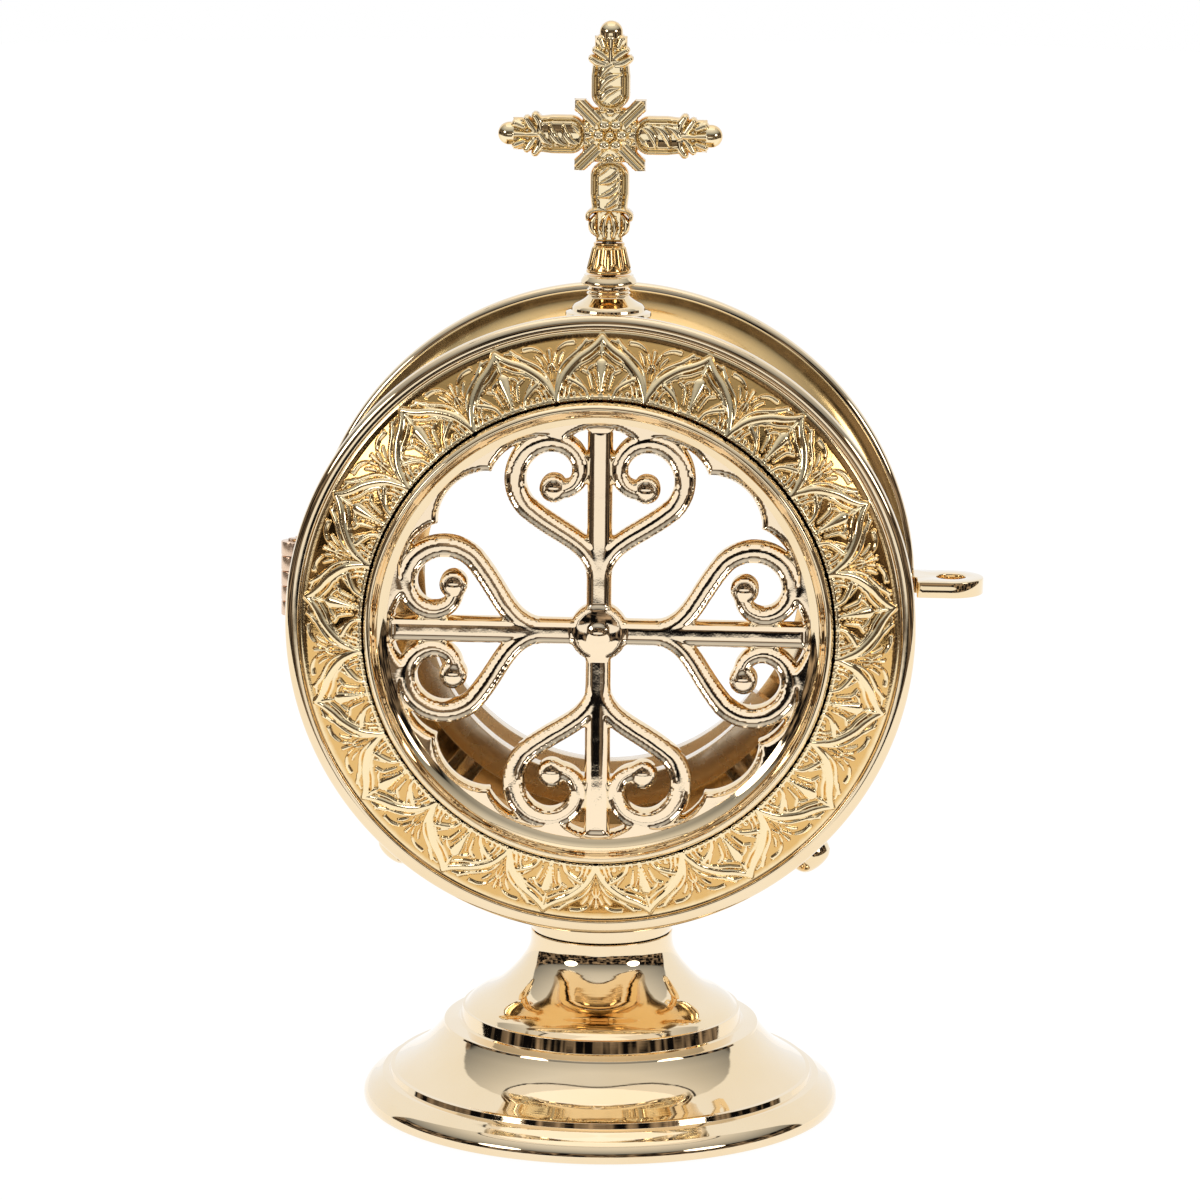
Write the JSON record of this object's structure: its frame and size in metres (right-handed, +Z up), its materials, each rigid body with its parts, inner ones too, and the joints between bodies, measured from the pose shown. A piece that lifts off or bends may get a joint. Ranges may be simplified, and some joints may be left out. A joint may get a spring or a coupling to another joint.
{
  "type": "lunette custodial",
  "caption": "Round gilt brass case for a lunette on a turned foot, with an ornamented front ring, an openwork plate, a hinged back door, a pull eye and a cross on top.",
  "frame": {"origin": "centre of the underside of the foot, on the face of the felt", "axes": "+Z up, the ornamented front faces -Y, the back door and its hinge are on the +Y side, the pull eye points to +X"},
  "size_m": [0.1294, 0.0868, 0.1981],
  "materials": {
    "gilt": "mirror-polished pale gold plate",
    "gilt_cast": "cast ornament, gold plated",
    "gilt_spun": "spun, with fine rings round it, gold plated",
    "gilt_satin": "satin, gold plated",
    "hinge": "pinkish brass, dull",
    "steel": "bright zinc plated",
    "felt": "dark red felt"
  },
  "bodies": {
    "case": {"foot_shell": "gilt", "foot_base_plate": "steel", "felt_pad": "felt", "foot_washer": "steel", "foot_nut": "steel", "case_bolt": "steel", "neck_saddle": "gilt", "case_drum": "gilt_spun", "front_cover_ring": "gilt_cast", "front_bezel": "gilt", "openwork_plate": "gilt_cast", "plate_retaining_ring": "gilt_satin", "hinge_leaf_case": "hinge", "hinge_pin": "hinge", "cradle_rail": "gilt_satin", "cradle_screw_left": "gilt", "cradle_screw_right": "gilt", "finial_base": "gilt", "finial_collar": "gilt", "cross_socket": "gilt_cast", "cross": "gilt_cast", "cross_stud": "steel", "cross_nut": "steel"},
    "door": {"back_door_ring": "gilt", "door_snap_collar": "gilt_satin", "hinge_leaf_door": "hinge", "pull_eye": "gilt"}
  },
  "joints": [
    {"name": "door_hinge", "type": "hinge", "parent": "case", "child": "door", "pos_m": [-0.0586, 0.01885, 0.0926], "axis": [0, 0, 1], "range_deg": [0, 150]}
  ]
}
